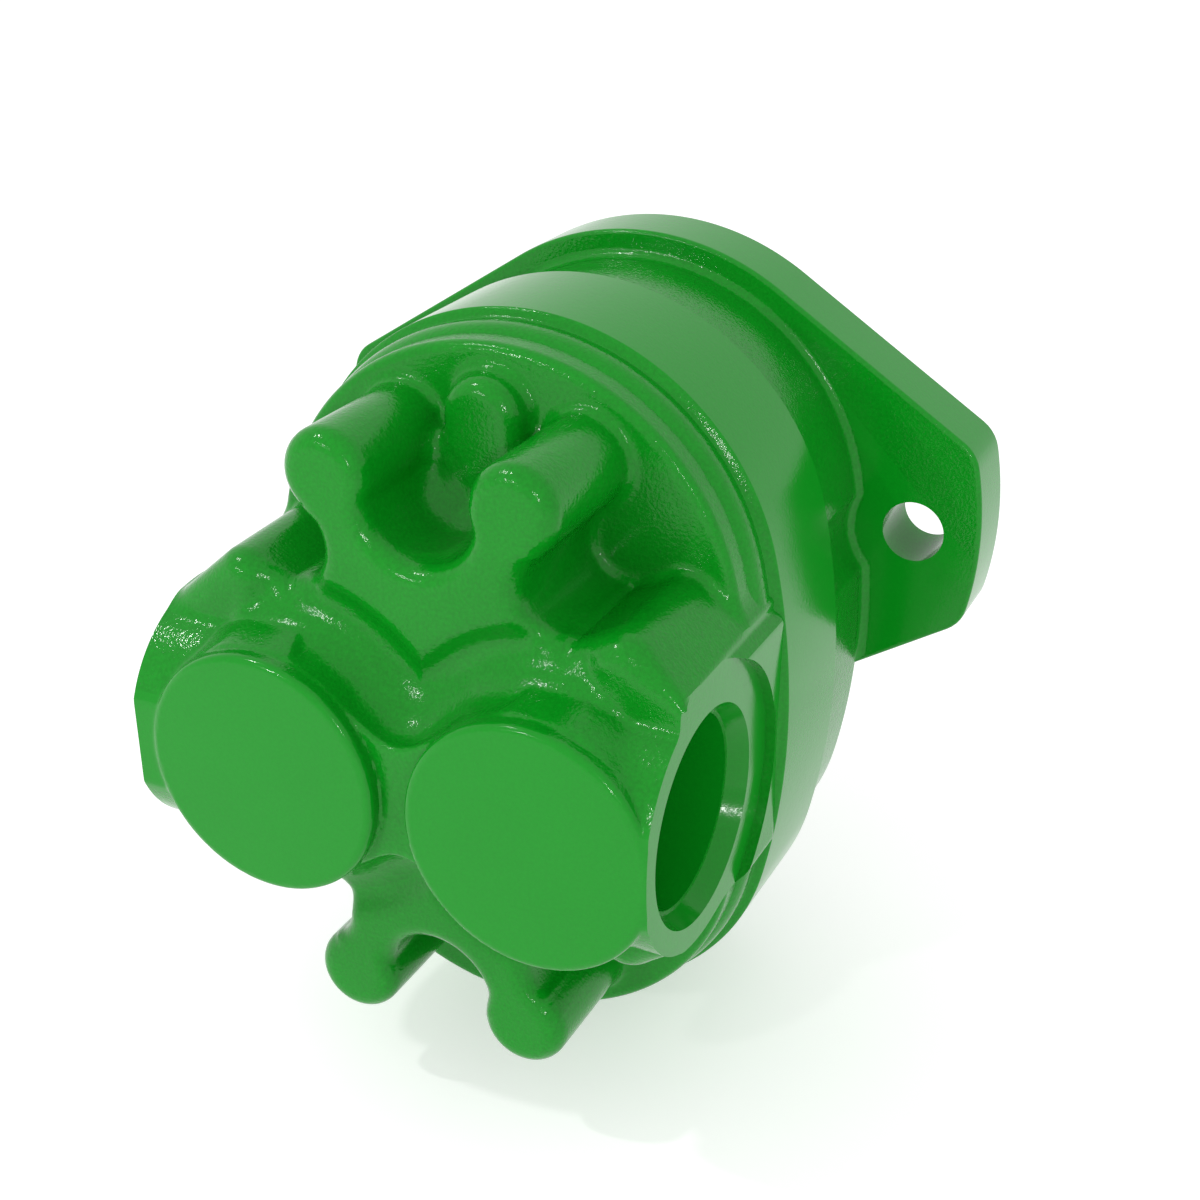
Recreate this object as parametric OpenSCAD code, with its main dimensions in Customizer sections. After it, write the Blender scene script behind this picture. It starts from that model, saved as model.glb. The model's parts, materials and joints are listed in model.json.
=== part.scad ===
/* [Mounting flange] */
// Distance between the centres of the two mounting holes
hole_spacing = 106.4; // [104:0.1:112]
// Radius of a mounting hole
hole_r = 5.6; // [4:0.1:6.5]
// Thickness of the flange plate
flange_t = 13; // [10:0.5:16]
// Radius of the round middle of the flange
flange_mid_r = 48; // [46:0.5:52]
// Reach of each ear from the shaft axis
ear_reach = 65.3; // [63:0.1:72]
// Angle at which the straight side leaves the round middle
ear_angle = 57.3; // [55:0.1:60]
// Radius of an ear corner
ear_corner_r = 7; // [4:0.5:9]
// Radius of the centring spigot
pilot_r = 41.275; // [40:0.025:43]
// Height of the centring spigot
pilot_h = 6.35; // [5:0.05:8]
// Radius cut into the neck round each mounting hole for a bolt head
scallop_r = 12.2; // [11:0.1:13]

/* [Castings] */
// Length of the neck between the flange and the joint
neck_len = 21.5; // [20:0.5:26]
// How far the neck lies inside the outline of the body
neck_inset = 2.8; // [1:0.1:4]
// Width of the body
body_w = 95; // [93:0.5:100]
// Height of the body's crown above the shaft axis
body_top = 45.9; // [45.7:0.1:49]
// Radius of the body's crown
crown_r = 45.3; // [44:0.1:45.6]
// Length of the full section of the body behind the joint
band_len = 22.6; // [20:0.5:26]
// Length of the ogee behind the full section
ogee_len = 5; // [3:0.5:7]
// Depth of the ogee
ogee_depth = 2.7; // [1:0.1:3.5]
// Length of the plain rim behind the ogee
rim_len = 6.7; // [5:0.1:9]
// Height of the small step in the rim
rim_step = 0.6; // [0.2:0.1:1]
// Radius of the rim's rounded edge
rim_round = 1.6; // [0.5:0.1:2.5]

/* [Rear ribs] */
// Length of the screw ribs behind the floor
rib_len = 25.3; // [22:0.1:30]
// Radius of a screw rib
rib_r = 7.5; // [7:0.1:9]
// Radius of the rounding round the rear pad
rib_round = 3; // [1:0.1:3.4]
// Radius of the valley between two ribs
valley_r = 9.6; // [8.5:0.1:10.5]
// Distance from the rib centres to the centre of that valley
valley_drop = 2.4; // [1:0.1:4]
// Radius of a side valley
side_valley_r = 7.2; // [6:0.1:7.3]
// Sideways distance from a rib to its side valley
side_valley_x = 8.4; // [8:0.1:9]
// Distance along the pad from a rib to its side valley
side_valley_z = 12.3; // [12:0.1:14]
// Sideways distance of the hump beside that valley from the shaft axis
hump_x = 35.1; // [34:0.1:37]
// Angle at which the valley's wall climbs to the hump
hump_rise = 27; // [20:0.5:32]
// Angle at which the hump falls towards its port
hump_fall = 41.6; // [38:0.1:45]
// Radius of the hump's crest
hump_round = 3.5; // [1:0.1:5]
// Radius of the dome in the upper valley
dome_r = 7; // [6:0.1:8]
// Length of the dome behind the floor
dome_len = 5.5; // [4:0.1:8]
// Height of the dome's centre above the shaft axis
dome_z = 32.2; // [30:0.1:34]

/* [Rear port pads] */
// Radius of the flat face of a rear pad
disc_r = 19.9; // [17:0.1:20]
// Sideways distance of a rear pad from the shaft
disc_x = 24; // [23.5:0.1:25.5]
// How far the rear pads stand behind the ribs
disc_proud = 11.1; // [8:0.1:13]
// Radius of the rounded edge of a rear pad
disc_round = 1.2; // [0.5:0.1:2]
// Half width of the web between the rear pads
web_half_w = 8.5; // [6:0.1:12]
// How far the web lies below the pad faces
web_low = 3; // [1:0.1:6]
// How far the port boss, flattened beside the pads, lies below their faces
boss_low = 0.6; // [0.2:0.1:1.5]

/* [Side ports] */
// Radius of the tapped bore of a port
port_r = 15.8; // [12:0.1:16.2]
// Radius of the sealing chamfer at the mouth of a port
port_mouth_r = 18; // [17:0.1:19]
// Depth of the sealing chamfer
port_mouth_h = 3.3; // [2:0.1:5]
// Width of the shoulder at the foot of the chamfer
port_shoulder = 0.8; // [0.2:0.1:0.9]
// Depth of a port bore from its face
port_depth = 24; // [20:0.5:26]
// Distance of the port centres from the floor
port_back = 15.3; // [14:0.1:17]
// How far the port centres lie below the middle of the two gears
port_drop = 2.2; // [0:0.1:3]
// Radius of the boss round a port
boss_r = 22; // [21:0.1:23]
// Radius of the spot face
spot_r = 25.1; // [24:0.1:27]
// Depth of the spot face
spot_h = 1.7; // [0.5:0.1:3]
// Distance of the outlet pad from the shaft axis
outlet_x = 46; // [45:0.1:47]
// Distance of the inlet pad from the shaft axis
inlet_x = 50; // [48:0.1:52]
// Radius of the passage from a port to the gears
passage_r = 6.5; // [5:0.1:7]
// Sideways distance of that passage from the shaft axis
passage_x = 24.5; // [23:0.1:26]

/* [Gears] */
// Distance between the two shaft axes
gear_cd = 38.1; // [38.1:0.1:40]
// Number of teeth on each gear
teeth = 12; // [11:1:14]
// Pressure angle of the teeth
pressure_angle = 25; // [24:0.5:27]
// Backlash between the teeth
backlash = 0.16; // [0.1:0.01:0.3]
// Gap between tooth tips and the housing
tip_gap = 0.06; // [0.03:0.01:0.1]
// Width of the gears
gear_w = 20.7; // [18:0.1:21.5]
// Gap between the gears and the wear plates
side_gap = 0.05; // [0.02:0.01:0.1]
// Thickness of a wear plate
plate_t = 4.5; // [4:0.1:6]
// Gap round a wear plate
plate_gap = 0.05; // [0.02:0.01:0.1]

/* [Shafts] */
// Radius of the shafts in their bushings
journal_r = 9.525; // [9:0.025:10]
// Radius of the drive end
drive_end_r = 7.9375; // [7.5:0.0125:8.5]
// Length of the drive end in front of the flange face
drive_end_len = 31.75; // [28:0.25:45]
// Width of the keyway in the drive end, twice its depth
key_w = 3.97; // [3.5:0.01:4.4]
// Length of the keyway in the drive end
key_len = 19; // [14:0.5:20]
// Width and height of the key under the drive gear
gear_key_w = 4; // [3:0.1:5]
// Length of the key under the drive gear
gear_key_len = 14; // [10:0.5:16]
// Wall of a bushing
bushing_wall = 1.6; // [1.2:0.1:2]
// Length of a bushing
bushing_len = 17; // [12:0.5:17]
// Running gap between shaft and bushing
journal_gap = 0.03; // [0.02:0.01:0.06]
// Chamfer on the shaft ends
shaft_chamfer = 0.8; // [0.3:0.1:1.5]

/* [Seals] */
// Outer radius of the shaft seal
seal_r = 15.9; // [14:0.1:17]
// Height of the shaft seal
seal_h = 7; // [6:0.1:8]
// Depth of the seal's seat below the flange face
seal_seat = 6; // [5:0.1:8]
// Thickness of the seal's steel case
seal_wall = 1; // [0.8:0.1:1.2]
// Gap between the metal of the seal and the shaft
seal_gap = 1.6; // [1.2:0.1:2]
// Thickness of the retaining ring
ring_t = 1.2; // [1:0.1:1.6]
// Radial width of the retaining ring
ring_w = 2.4; // [2:0.1:3]
// Depth of the retaining ring's groove
ring_groove = 0.9; // [0.6:0.1:1.2]
// Distance from the gear chamber to the joint seal
joint_seal_gap = 2.2; // [1.8:0.1:2.4]
// Width of the joint seal
joint_seal_w = 1.8; // [1.2:0.1:2]
// Depth of the joint seal's groove
joint_seal_h = 1.6; // [1:0.1:2]
// Width of a balance seal
balance_w = 1.6; // [1:0.1:2]
// Width of a backup strip
backup_w = 1; // [0.6:0.1:1.2]
// Depth of the grooves for balance seal and backup strip
balance_h = 1.8; // [1:0.1:2.5]

/* [Fasteners] */
// Sideways distance of a body screw from the shaft axis
screw_x = 16.3; // [16:0.1:17]
// Distance of the upper body screws above the shaft axis
screw_z = 27.35; // [27:0.1:29]
// Radius of a body screw
screw_r = 4; // [3:0.1:4]
// Length of a body screw under its head
screw_len = 60; // [50:1:70]
// Radius of a screw head
head_r = 6.5; // [6:0.1:7]
// Height of a screw head
head_h = 8; // [6:0.1:9]
// Depth of the screw seats below the flange face
head_seat = 23.6; // [23:0.1:27]
// Gap round a screw in its clearance hole
screw_gap = 0.4; // [0.2:0.1:0.6]
// Gap round a screw in its tapped hole
thread_gap = 0.02; // [0.01:0.01:0.05]
// Distance across the flats of the hexagon socket
socket_af = 6; // [5:0.5:7]
// Depth of the hexagon socket
socket_h = 4; // [2:0.1:5]
// Thickness of a washer
washer_t = 1.6; // [1:0.1:2]
// Radius of a dowel pin
dowel_r = 3; // [2:0.1:3.5]
// Length of a dowel pin
dowel_len = 14; // [10:1:18]
// Sideways distance of a dowel pin from the shaft axis
dowel_x = 35; // [34:0.1:36.5]
// Height of the upper dowel pin above the shaft axis
dowel_z = 8; // [6:0.1:9]

/* [Hidden] */
$fn = 96;
eps = 0.01;
cut = 1;

// Positions along the pump axis, from the flange face backwards
y_flange = -flange_t;
y_joint = y_flange - neck_len;
y_band = y_joint - band_len;
y_ogee = y_band - ogee_len;
y_floor = y_ogee - rim_len;
y_rib = y_floor - rib_len;
y_disc = y_rib - disc_proud;
y_dome = y_floor - dome_len;
y_port = y_floor - port_back;
y_step = y_ogee - (rim_len - rim_round) / 2;

// Heights
z_mid = -gear_cd / 2;
z_port = z_mid - port_drop;
crown_z = body_top - crown_r;
half_h = crown_z - z_mid;

// The rear pad, its heights measured from the middle of the two gears
pad_half = screw_z - z_mid;
valley_at = [screw_x + side_valley_x, pad_half - side_valley_z];
rise_normal = [-sin(hump_rise), cos(hump_rise)];
fall_normal = [sin(hump_fall), cos(hump_fall)];
valley_foot = valley_at - side_valley_r * rise_normal;
hump_top = [hump_x, valley_foot[1] + (hump_x - valley_foot[0]) * tan(hump_rise)];
edge_lap = 0.05;

// The outline of the body is an oval of four arcs that meet without a corner
side_r = ((body_w / 2) ^ 2 + half_h ^ 2 - crown_r ^ 2) / (body_w - 2 * crown_r);
side_x = side_r - body_w / 2;
arc_a = asin(half_h / (side_r - crown_r));

// Teeth
module_mm = gear_cd / teeth;
pitch_r = gear_cd / 2;
base_r = pitch_r * cos(pressure_angle);
tip_r = pitch_r + module_mm;
root_r = pitch_r - 1.25 * module_mm;
chamber_r = tip_r + tip_gap;
flank_steps = 6;
y_chamber = y_joint - gear_w - 2 * (plate_t + side_gap);
y_gear = y_chamber + plate_t + side_gap;
bushing_r = journal_r + journal_gap + bushing_wall;
end_gap = 0.5;

// Shafts and seal along the axis
y_shaft_rear = y_chamber - bushing_len + end_gap;
y_driven_front = y_joint + bushing_len - end_gap;
y_seal = -seal_seat;
y_ring = y_seal + seal_h;
seal_bore_r = journal_r + seal_gap;
y_land = y_ring + ring_t + end_gap;
y_key = drive_end_len - key_len - 2 * shaft_chamfer;
head_top = head_h + washer_t - head_seat;
y_screw_tip = washer_t - head_seat - screw_len;
balance_lap = 0.35;
balance_r = gear_cd / 2 + balance_lap;
spring_r = 0.7;
lip_t = 1.2;
shaft_gap = 1;

// Frame helpers: profiles are drawn with x to the right and y upwards, seen from the rear
module extrude_y(y0, y1) {
    translate([0, y1, 0])
        rotate([90, 0, 0])
            linear_extrude(height = y1 - y0)
                children();
}

module rod_y(r, y0, y1, x = 0, z = 0) {
    translate([x, y0, z])
        rotate([-90, 0, 0])
            cylinder(r = r, h = y1 - y0);
}

// A turned shape: the profile has its radius as x and its place along the pump axis as y
module turn_y(x = 0, z = 0) {
    translate([x, 0, z])
        rotate([-90, 0, 0])
            rotate_extrude()
                children();
}

module rod_x(r, x0, x1) {
    translate([x0, 0, 0])
        rotate([0, 90, 0])
            cylinder(r = r, h = x1 - x0);
}

// Oval outline of the castings, drawn smaller by the given inset
module oval(inset = 0) {
    clip_h = 2 * (half_h + (crown_r - inset) * sin(arc_a));
    translate([0, z_mid]) {
        for (s = [-1, 1])
            translate([0, s * half_h])
                circle(r = crown_r - inset);
        intersection() {
            translate([-side_x, 0])
                circle(r = side_r - inset, $fn = 192);
            translate([side_x, 0])
                circle(r = side_r - inset, $fn = 192);
            square([body_w, clip_h], center = true);
        }
    }
}

// Sweeps a profile round the oval: x is the distance outside it, y the place along the axis
module sweep_oval() {
    lap_a = 0.5;
    translate([0, 0, z_mid])
        rotate([90, 0, 0]) {
            for (s = [0, 1])
                rotate([0, 0, 180 * s])
                    translate([0, half_h, 0])
                        rotate([0, 0, arc_a - lap_a])
                            rotate_extrude(angle = 180 - 2 * arc_a + 2 * lap_a)
                                translate([crown_r, 0])
                                    mirror([0, 1])
                                        children();
            for (s = [0, 1])
                rotate([0, 0, 180 * s])
                    translate([-side_x, 0, 0])
                        rotate([0, 0, -arc_a])
                            rotate_extrude(angle = 2 * arc_a, $fn = 192)
                                translate([side_r, 0])
                                    mirror([0, 1])
                                        children();
        }
}

// Points on a quarter of a circle about (cx, cy), from angle a0 to a1
function arc_points(cx, cy, r, a0, a1, n) =
    [for (i = [0:n]) let (a = a0 + (a1 - a0) * i / n) [cx + r * cos(a), cy + r * sin(a)]];

// Flange outline: round middle, straight tangent sides and rounded ears
module flange_outline() {
    corner_d = ear_reach - ear_corner_r;
    corner_a = ear_angle - acos((flange_mid_r - ear_corner_r) / corner_d);
    corner = corner_d * [cos(corner_a), sin(corner_a)];
    normal = [cos(ear_angle), sin(ear_angle)];
    side = flange_mid_r * normal;
    touch = corner + ear_corner_r * normal;
    circle(r = flange_mid_r);
    for (s = [0, 1])
        mirror([s, 0]) {
            polygon([[0, 0], side, touch, corner, [corner[0], -corner[1]],
                     [touch[0], -touch[1]], [side[0], -side[1]]]);
            for (t = [-1, 1])
                translate([corner[0], t * corner[1]] * (corner_d + 2 * eps) / corner_d)
                    circle(r = ear_corner_r);
            intersection() {
                circle(r = ear_reach);
                polygon([[0, 0], 2 * corner, [2 * corner[0], -2 * corner[1]]]);
            }
        }
}

// Two overlapping circles about the shaft axes
module figure_eight(r) {
    for (z = [0, -gear_cd])
        translate([0, z])
            circle(r = r);
}

// Gear chamber with the two side galleries, drawn larger by the given amount
module chamber_outline(grow = 0) {
    gallery_r = passage_r + end_gap + grow;
    figure_eight(chamber_r + grow);
    translate([0, z_mid]) {
        square([2 * passage_x, 2 * gallery_r], center = true);
        for (s = [-1, 1])
            translate([s * passage_x, 0])
                circle(r = gallery_r);
    }
}

// Path of the seal between the two castings
module joint_seal_outline() {
    difference() {
        chamber_outline(joint_seal_gap + joint_seal_w);
        chamber_outline(joint_seal_gap);
    }
}

module each_screw() {
    for (sx = [-1, 1])
        for (z = [screw_z, -gear_cd - screw_z])
            translate([sx * screw_x, 0, z])
                children();
}

module each_dowel() {
    translate([dowel_x, 0, dowel_z])
        children();
    translate([-dowel_x, 0, -gear_cd - dowel_z])
        children();
}

module front_cover() {
    color("forestgreen")
        difference() {
            union() {
                extrude_y(y_flange, 0)
                    flange_outline();
                extrude_y(y_joint, y_flange + eps)
                    difference() {
                        oval(neck_inset);
                        for (s = [-1, 1])
                            translate([s * hole_spacing / 2, 0])
                                circle(r = scallop_r);
                    }
                rod_y(pilot_r, -cut, pilot_h);
            }
            for (s = [-1, 1])
                rod_y(hole_r, y_flange - cut, cut, s * hole_spacing / 2);
            rod_y(seal_r, -seal_seat, pilot_h + cut);
            rod_y(seal_r + ring_groove, y_ring, y_ring + ring_t);
            rod_y(journal_r + shaft_gap, y_joint - cut, 0);
            for (z = [0, -gear_cd])
                rod_y(bushing_r, y_joint - cut, y_joint + bushing_len, 0, z);
            each_screw() {
                rod_y(screw_r + screw_gap, y_joint - cut, 0);
                rod_y(head_r + screw_gap, -head_seat, pilot_h + cut);
            }
            each_dowel()
                rod_y(dowel_r, y_joint - cut, y_joint + dowel_len / 2 + end_gap);
        }
}

// Band, ogee and rim of the body: a plain oval with one profile cut away all round it
module body_shell() {
    rim_d = ogee_depth + rim_step;
    floor_lap = 0.05;
    steps = 8;
    difference() {
        extrude_y(y_floor, y_joint)
            oval();
        sweep_oval()
            polygon(concat(
                [[cut, y_band + cut / 4]],
                [for (i = [0:steps]) [-ogee_depth * (1 - cos(180 * i / steps)) / 2,
                                      y_band - ogee_len * i / steps]],
                [[-ogee_depth, y_step], [-rim_d, y_step]],
                arc_points(-rim_d - rim_round, y_floor + rim_round - floor_lap, rim_round, 0, -90, 4),
                [[-rim_d - rim_round, y_floor - cut], [cut, y_floor - cut]]
            ));
    }
}

// Half profile of a stud that stands on the floor and has a rounded rear edge
module rounded_end(r, y_end) {
    polygon(concat(
        [[0, y_floor + cut], [r, y_floor + cut]],
        arc_points(r - rib_round, y_end + rib_round, rib_round, 0, -90, 6),
        [[0, y_end]]
    ));
}

// Cutter for a round valley, flared at the rear so that the pad's edge is rounded
module valley_cutter(r) {
    turn_y()
        polygon(concat(
            [[0, y_floor + cut], [r, y_floor + cut]],
            arc_points(r + rib_round, y_rib + rib_round, rib_round, 180, 270, 6),
            [[r + rib_round, y_rib - cut], [0, y_rib - cut]]
        ));
}

// Cutter for the straight part of the valley between two ribs
module slot_cutter(height) {
    linear_extrude(height = height)
        polygon(concat(
            arc_points(valley_r + rib_round, y_rib + rib_round, rib_round, 180, 270, 6),
            [[valley_r + rib_round, y_rib - cut], [-valley_r - rib_round, y_rib - cut]],
            arc_points(-valley_r - rib_round, y_rib + rib_round, rib_round, 270, 360, 6),
            [[-valley_r, y_floor + cut], [valley_r, y_floor + cut]]
        ));
}

// Right half of the pad's outline above the middle, from its screw rib down to the port's face
function pad_points(port_x) =
    let (crest = hump_top - hump_round * (rise_normal + fall_normal)
                 / (1 + rise_normal * fall_normal))
    concat(
        [[screw_x, pad_half], valley_at, valley_at - (side_valley_r - cut / 4) * rise_normal],
        arc_points(crest[0], crest[1], hump_round, 90 + hump_rise, 90 - hump_fall, 6),
        [[port_x, hump_top[1] - (port_x - hump_x) * tan(hump_fall)], [port_x, -eps]]
    );

// Cutter that rounds the rear edge along a straight side of a hump
module edge_cutter(length) {
    linear_extrude(height = length)
        polygon(concat(
            arc_points(edge_lap - rib_round, y_rib + rib_round - edge_lap, rib_round, 0, -90, 6),
            [[-rib_round, y_rib - cut], [cut, y_rib - cut], [cut, y_rib + rib_round]]
        ));
}

// The pad between the four ribs, with its valleys and the humps that fall to the ports
module rib_pad() {
    points = concat(pad_points(outlet_x),
                    reversed([for (p = pad_points(inlet_x)) [-p[0], p[1]]]));
    translate([0, 0, z_mid])
        for (s = [0, 1])
            mirror([0, 0, s])
                difference() {
                    extrude_y(y_rib, y_band)
                        polygon(points);
                    translate([0, 0, pad_half - valley_drop])
                        valley_cutter(valley_r);
                    translate([0, 0, pad_half - valley_drop])
                        slot_cutter(pad_half);
                    for (sx = [0, 1])
                        mirror([sx, 0, 0]) {
                            translate([valley_at[0], 0, valley_at[1]])
                                valley_cutter(side_valley_r);
                            translate([hump_x, 0, hump_top[1]])
                                rotate([0, hump_fall - 90, 0])
                                    translate([0, 0, -inlet_x])
                                        edge_cutter(inlet_x + hump_round);
                        }
                }
}

// Short boss with a round top, standing in the valley between the upper ribs
module dome() {
    base_z = screw_z - valley_drop - valley_r - cut;
    turn_y(0, dome_z)
        rounded_end(dome_r, y_dome);
    translate([0, 0, base_z])
        linear_extrude(height = dome_z - base_z)
            for (s = [0, 1])
                mirror([s, 0])
                    rounded_end(dome_r - cut / 4, y_dome);
}

// Raised round pad on the rear, where a rear port could be cut
module rear_disc() {
    turn_y()
        polygon(concat(
            [[0, y_port], [disc_r + disc_round, y_port]],
            arc_points(disc_r, y_disc + disc_round, disc_round, 0, -90, 4),
            [[0, y_disc]]
        ));
}

// Round boss of the two side ports, flattened at the rear and lower still at the web
module port_boss() {
    y_back = y_port - boss_r - cut;
    difference() {
        translate([0, y_port, z_port])
            rod_x(boss_r, -inlet_x, outlet_x);
        extrude_y(y_back, y_disc + boss_low)
            translate([0, z_port])
                square([4 * inlet_x, 2 * boss_r], center = true);
        extrude_y(y_back, y_disc + web_low)
            translate([0, z_port])
                square([2 * web_half_w, 2 * boss_r], center = true);
    }
}

// Everything that is cut for one port on the +X side, with its pad at the given distance
module port_cut(pad_x) {
    face_x = pad_x - spot_h;
    translate([0, y_port, z_port])
        rotate([0, 90, 0])
            rotate_extrude()
                polygon([[0, face_x - port_depth], [port_r, face_x - port_depth],
                         [port_r, face_x - port_mouth_h],
                         [port_r + port_shoulder, face_x - port_mouth_h],
                         [port_mouth_r, face_x], [spot_r, face_x],
                         [spot_r, pad_x + cut], [0, pad_x + cut]]);
}

module pump_body() {
    color("forestgreen")
        difference() {
            union() {
                body_shell();
                rib_pad();
                each_screw()
                    turn_y()
                        rounded_end(rib_r, y_rib);
                dome();
                for (s = [-1, 1])
                    translate([s * disc_x, 0, z_port])
                        rear_disc();
                port_boss();
            }
            port_cut(outlet_x);
            mirror([1, 0, 0])
                port_cut(inlet_x);
            extrude_y(y_chamber, y_joint + cut)
                chamber_outline();
            for (s = [-1, 1])
                rod_y(passage_r, y_port, y_chamber + cut, s * passage_x, z_mid);
            for (z = [0, -gear_cd])
                rod_y(bushing_r, y_chamber - bushing_len, y_chamber + cut, 0, z);
            each_screw() {
                rod_y(screw_r + thread_gap, y_screw_tip - end_gap, y_chamber);
                rod_y(screw_r + screw_gap, y_chamber, y_joint + cut);
            }
            each_dowel()
                rod_y(dowel_r, y_joint - dowel_len / 2 - end_gap, y_joint + cut);
            extrude_y(y_joint - joint_seal_h, y_joint + cut)
                joint_seal_outline();
        }
}

// Angle between the involute's start and its point at radius r, in degrees
function involute_angle(r) =
    let (a = acos(base_r / r)) tan(a) * 180 / PI - a;

// Half of a tooth's angle at radius r
function half_tooth(r) =
    90 / teeth - backlash / (4 * pitch_r) * 180 / PI + involute_angle(pitch_r)
    - involute_angle(max(r, base_r));

// Points of one side of a tooth from root to tip
function flank(side) =
    [for (i = [0:flank_steps])
        let (r = max(root_r, base_r) + (tip_r - max(root_r, base_r)) * i / flank_steps,
             a = 90 + side * half_tooth(r))
        [r * cos(a), r * sin(a)]];

function root_point(side) =
    let (a = 90 + side * (half_tooth(base_r) + 1)) [root_r * cos(a), root_r * sin(a)];

function turned(points, a) =
    [for (p = points) [p[0] * cos(a) - p[1] * sin(a), p[0] * sin(a) + p[1] * cos(a)]];

function reversed(points) = [for (i = [len(points) - 1:-1:0]) points[i]];

function tooth_points() = concat(
    [root_point(1)], flank(1), reversed(flank(-1)), [root_point(-1)]
);

// Spur gear outline with one tooth at the top
module gear_outline() {
    polygon([for (i = [0:teeth - 1]) for (p = turned(tooth_points(), -360 * i / teeth)) p]);
}

// Parallel key seen from above: a slot shape along the y direction
module key_outline(width, length) {
    square([width, length - width], center = true);
    for (s = [-1, 1])
        translate([0, s * (length - width) / 2])
            circle(d = width);
}

// A key standing on the top of a shaft, half sunk into it
module key_solid(width, length, y_mid, radius) {
    translate([0, y_mid, radius - width / 2])
        linear_extrude(height = width)
            key_outline(width, length);
}

module drive_shaft() {
    color("silver")
        difference() {
            turn_y()
                polygon([[0, y_shaft_rear], [journal_r - shaft_chamfer, y_shaft_rear],
                         [journal_r, y_shaft_rear + shaft_chamfer],
                         [journal_r, y_land], [drive_end_r, y_land + shaft_chamfer],
                         [drive_end_r, drive_end_len - shaft_chamfer],
                         [drive_end_r - shaft_chamfer, drive_end_len], [0, drive_end_len]]);
            key_solid(key_w, key_len, y_key + key_len / 2, drive_end_r);
            gear_key_solid();
        }
}

module gear_key_solid() {
    key_solid(gear_key_w, gear_key_len, y_gear + gear_w / 2, journal_r);
}

module drive_gear_key() {
    color("dimgray")
        gear_key_solid();
}

module gear_blank() {
    extrude_y(y_gear, y_gear + gear_w)
        difference() {
            gear_outline();
            circle(r = journal_r);
        }
}

module drive_gear() {
    color("lightsteelblue")
        difference() {
            gear_blank();
            translate([-gear_key_w / 2, y_gear - cut, 0])
                cube([gear_key_w, gear_w + 2 * cut, journal_r + gear_key_w / 2]);
        }
}

module driven_shaft() {
    color("silver")
        turn_y(0, -gear_cd)
            polygon([[0, y_shaft_rear], [journal_r - shaft_chamfer, y_shaft_rear],
                     [journal_r, y_shaft_rear + shaft_chamfer],
                     [journal_r, y_driven_front - shaft_chamfer],
                     [journal_r - shaft_chamfer, y_driven_front], [0, y_driven_front]]);
}

module driven_gear() {
    color("lightsteelblue")
        translate([0, 0, -gear_cd])
            rotate([0, 180 / teeth, 0])
                gear_blank();
}

module bushing(y0, z) {
    color("darkgoldenrod")
        translate([0, y0, z])
            rotate([-90, 0, 0])
                difference() {
                    cylinder(r = bushing_r, h = bushing_len);
                    translate([0, 0, -cut])
                        cylinder(r = journal_r + journal_gap, h = bushing_len + 2 * cut);
                }
}

module front_drive_bushing() {
    bushing(y_joint, 0);
}

module front_driven_bushing() {
    bushing(y_joint, -gear_cd);
}

module rear_drive_bushing() {
    bushing(y_chamber - bushing_len, 0);
}

module rear_driven_bushing() {
    bushing(y_chamber - bushing_len, -gear_cd);
}

// Path of the rubber seal on the back of a wear plate, open on the inlet side
module balance_outline(r, w) {
    open_x = 3;
    difference() {
        figure_eight(r + w);
        figure_eight(r);
        translate([-2 * chamber_r - open_x, z_mid - 2 * chamber_r])
            square([2 * chamber_r, 4 * chamber_r]);
    }
}

// Wear plate between a casting and the gears; the back is where its seal lies
module wear_plate(y0, back) {
    relief_w = 5;
    relief_h = 2.4;
    relief_x = 7;
    relief_depth = 1.2;
    y_back = y0 + (plate_t - balance_h) * back;
    y_relief = y0 + (plate_t - relief_depth) * (1 - back);
    color("darkkhaki")
        difference() {
            extrude_y(y0, y0 + plate_t)
                difference() {
                    figure_eight(chamber_r - plate_gap);
                    figure_eight(journal_r + 2 * journal_gap);
                }
            extrude_y(y_back - cut * (1 - back), y_back + balance_h + cut * back)
                balance_outline(balance_r - backup_w, balance_w + backup_w);
            for (s = [-1, 1])
                translate([s * relief_x - relief_w / 2, y_relief - cut * back,
                           z_mid - relief_h / 2])
                    cube([relief_w, relief_depth + cut, relief_h]);
        }
}

module front_wear_plate() {
    wear_plate(y_joint - plate_t, 1);
}

module rear_wear_plate() {
    wear_plate(y_chamber, 0);
}

module balance_part(y0, r, w) {
    extrude_y(y0, y0 + balance_h)
        balance_outline(r, w);
}

module front_balance_seal() {
    color("black")
        balance_part(y_joint - balance_h, balance_r, balance_w);
}

module rear_balance_seal() {
    color("black")
        balance_part(y_chamber, balance_r, balance_w);
}

module front_backup_strip() {
    color("ivory")
        balance_part(y_joint - balance_h, balance_r - backup_w, backup_w);
}

module rear_backup_strip() {
    color("ivory")
        balance_part(y_chamber, balance_r - backup_w, backup_w);
}

module joint_seal() {
    color("black")
        extrude_y(y_joint - joint_seal_h, y_joint)
            joint_seal_outline();
}

// Steel case of the shaft seal, open towards the pump
module shaft_seal_case() {
    inside_r = seal_r - seal_wall;
    color("silver")
        turn_y()
            polygon([[inside_r, y_seal], [seal_r, y_seal], [seal_r, y_ring],
                     [seal_bore_r, y_ring], [seal_bore_r, y_ring - seal_wall],
                     [inside_r, y_ring - seal_wall]]);
}

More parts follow.
